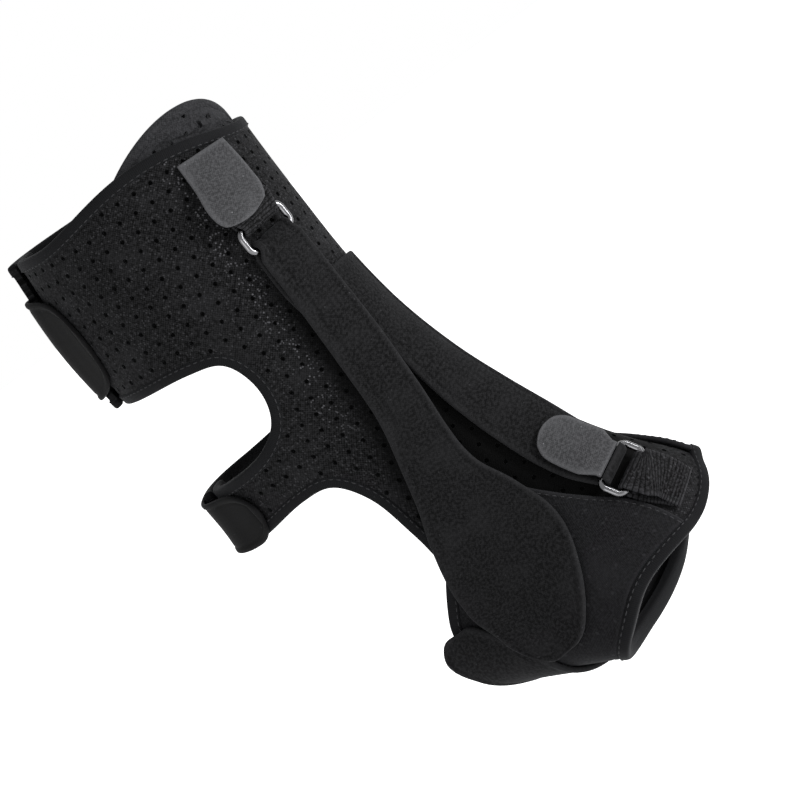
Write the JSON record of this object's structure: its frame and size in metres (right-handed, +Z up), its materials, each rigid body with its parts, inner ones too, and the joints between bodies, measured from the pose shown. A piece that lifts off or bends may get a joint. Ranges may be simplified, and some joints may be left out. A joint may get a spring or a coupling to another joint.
{
  "type": "ankle night splint",
  "caption": "Soft wrap-around night splint for a right ankle: calf cuff, open heel, foot wrap, and a lateral strap that holds the foot up.",
  "frame": {"origin": "centre of the wearer's ankle joint, inside the hollow", "axes": "+Z up the leg, +X towards the toes, -Y towards the outer side of the foot"},
  "size_m": [0.2092, 0.1014, 0.3012],
  "materials": {
    "neoprene": "perforated, matt, fine knit",
    "binding": "matt stretch tape, stitched",
    "loop_fabric": "brushed loop, matt",
    "strap": "suede-like loop strap, matt",
    "webbing": "ribbed weave, matt",
    "grey_hook": "fine hook tape, matt",
    "ring_steel": "bright nickel plate"
  },
  "bodies": {
    "root": {"leg_sleeve": "neoprene", "shin_pad": "neoprene", "rim_binding": "binding", "window_binding_outer": "binding", "window_binding_inner": "binding", "heel_binding_outer": "binding", "heel_binding_inner": "binding", "toe_binding": "binding", "wrap_binding": "binding", "foot_wrap": "loop_fabric", "calf_tab": "strap", "ankle_tab": "strap", "sole_strap": "strap", "side_strap": "strap", "centre_strap": "strap", "upper_ring": "ring_steel", "toe_ring": "ring_steel", "ring_webbing": "webbing", "toe_webbing": "webbing", "toe_tab": "grey_hook", "top_tab": "grey_hook"}
  },
  "joints": []
}
